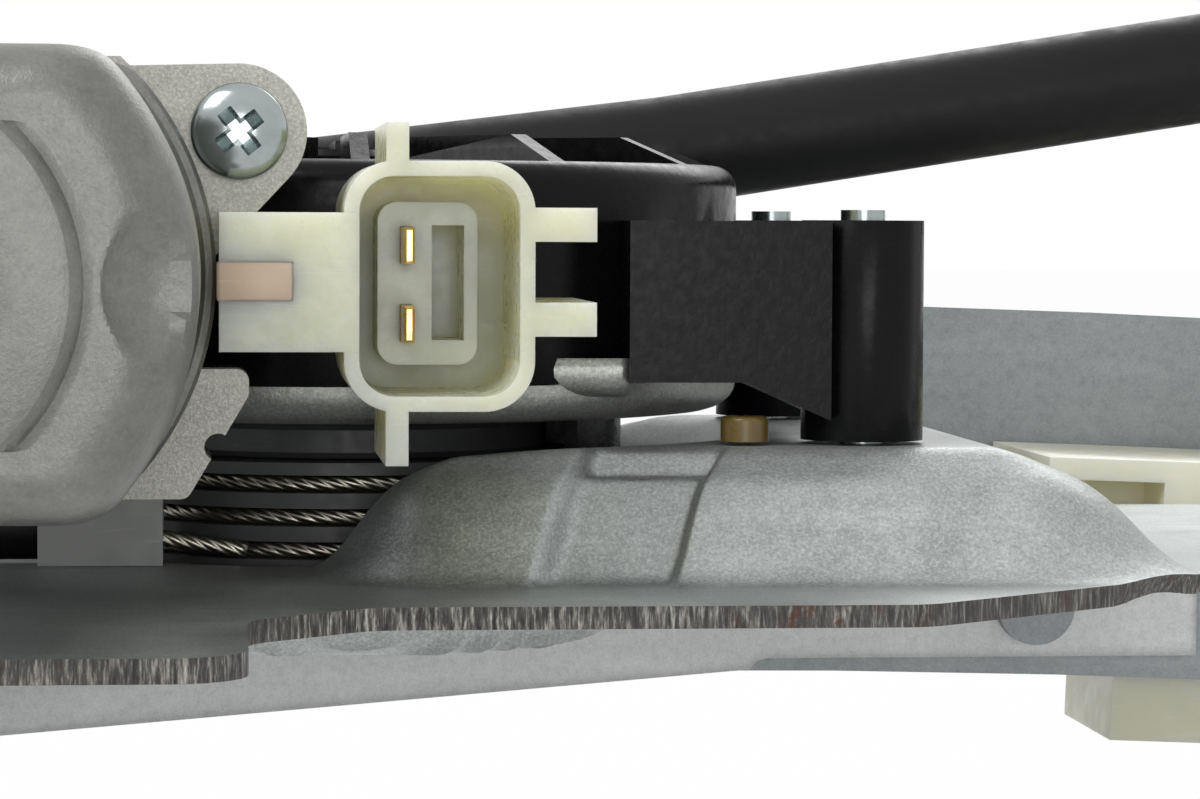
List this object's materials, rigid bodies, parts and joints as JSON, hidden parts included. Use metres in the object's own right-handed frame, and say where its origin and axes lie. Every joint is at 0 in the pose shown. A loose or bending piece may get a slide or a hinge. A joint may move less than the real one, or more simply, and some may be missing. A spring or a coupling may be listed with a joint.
{
  "type": "window regulator",
  "caption": "Power window regulator with a worm-geared motor on a stamped plate, a cable drum, sleeved conduits and a glass carrier on a curved slotted rail.",
  "frame": {"origin": "midway between the holes of the two end feet, in the plane of their mounting faces", "axes": "+X along the rail, +Y across it away from the motor, +Z away from the mounting plane"},
  "size_m": [0.593, 0.1983, 0.1036],
  "materials": {
    "zinc_plate": "satin",
    "can_steel": "satin",
    "bright_steel": "gloss",
    "black_plastic": "satin",
    "black_rubber": "matte",
    "conduit_plastic": "matte",
    "natural_nylon": "satin",
    "white_nylon": "satin",
    "grey_nylon": "matte",
    "amber_plastic": "satin",
    "wire_rope": "satin",
    "brass": "satin",
    "copper": "satin",
    "core_steel": "satin",
    "ferrite": "matte"
  },
  "bodies": {
    "base": {"guide_rail": "zinc_plate", "left_rail_foot": "zinc_plate", "right_rail_foot": "zinc_plate", "foot_rivets": "zinc_plate", "motor_plate": "zinc_plate", "plate_rivets": "zinc_plate", "front_foot": "zinc_plate", "axle_pin": "bright_steel", "gear_housing": "black_plastic", "gear_cover": "zinc_plate", "brush_plate": "zinc_plate", "flange_seal": "black_rubber", "motor_screws": "bright_steel", "housing_screws": "bright_steel", "connector_body": "natural_nylon", "terminals": "brass", "brush_insert": "amber_plastic", "brushes": "ferrite", "amber_bush": "amber_plastic", "motor_can": "can_steel", "rear_bearing": "brass", "magnets": "ferrite", "left_pulley_axle": "bright_steel", "right_pulley_axle": "bright_steel", "rail_cable": "wire_rope", "left_conduit_holder": "grey_nylon", "right_conduit_holder": "grey_nylon", "conduit_sockets": "grey_nylon", "cable_leads": "wire_rope", "right_conduit": "conduit_plastic", "conduit_sleeve": "black_rubber", "left_conduit": "conduit_plastic", "stop_bumpers": "black_rubber"},
    "drum_group": {"worm_wheel": "natural_nylon", "drive_damper": "black_rubber", "drive_hub": "core_steel", "drum": "grey_nylon", "drum_windings": "wire_rope"},
    "armature": {"armature_shaft": "bright_steel", "worm_thread": "bright_steel", "armature_core": "core_steel", "armature_winding": "copper", "commutator": "copper"},
    "carriage": {"carrier": "white_nylon", "cable_nipples": "brass", "carrier_insert": "brass"},
    "left_idler": {"left_pulley": "white_nylon"},
    "right_idler": {"right_pulley": "white_nylon"}
  },
  "joints": [
    {"name": "armature_spin", "type": "hinge", "parent": "base", "child": "armature", "pos_m": [-0.066, -0.12, 0.0707], "axis": [0, 1, 0], "range_deg": [-47645.6, 15675.6]},
    {"name": "carrier_travel", "type": "hinge", "parent": "base", "child": "carriage", "pos_m": [0, 0, -1.4715], "axis": [0, 1, 0], "range_deg": [-10.59, 3.49]},
    {"name": "drum_spin", "type": "hinge", "parent": "base", "child": "drum_group", "pos_m": [-0.03, -0.066, 0.045], "axis": [0, 0, 1], "range_deg": [-768.98, 253.33]},
    {"name": "left_pulley_spin", "type": "hinge", "parent": "base", "child": "left_idler", "pos_m": [-0.25281, -0.00726, 0.01313], "axis": [-0.1679, 0, 0.9858], "range_deg": [-344.29, 1045.45]},
    {"name": "right_pulley_spin", "type": "hinge", "parent": "base", "child": "right_idler", "pos_m": [0.25281, -0.00726, 0.01313], "axis": [0.1679, 0, 0.9858], "range_deg": [-344.29, 1045.45]}
  ],
  "couplings": [
    {"joint": "carrier_travel", "follows": "armature_spin", "ratio": 0.00022223},
    {"joint": "drum_spin", "follows": "armature_spin", "ratio": 0.016129},
    {"joint": "left_pulley_spin", "follows": "armature_spin", "ratio": -0.021932},
    {"joint": "right_pulley_spin", "follows": "armature_spin", "ratio": -0.021932}
  ]
}
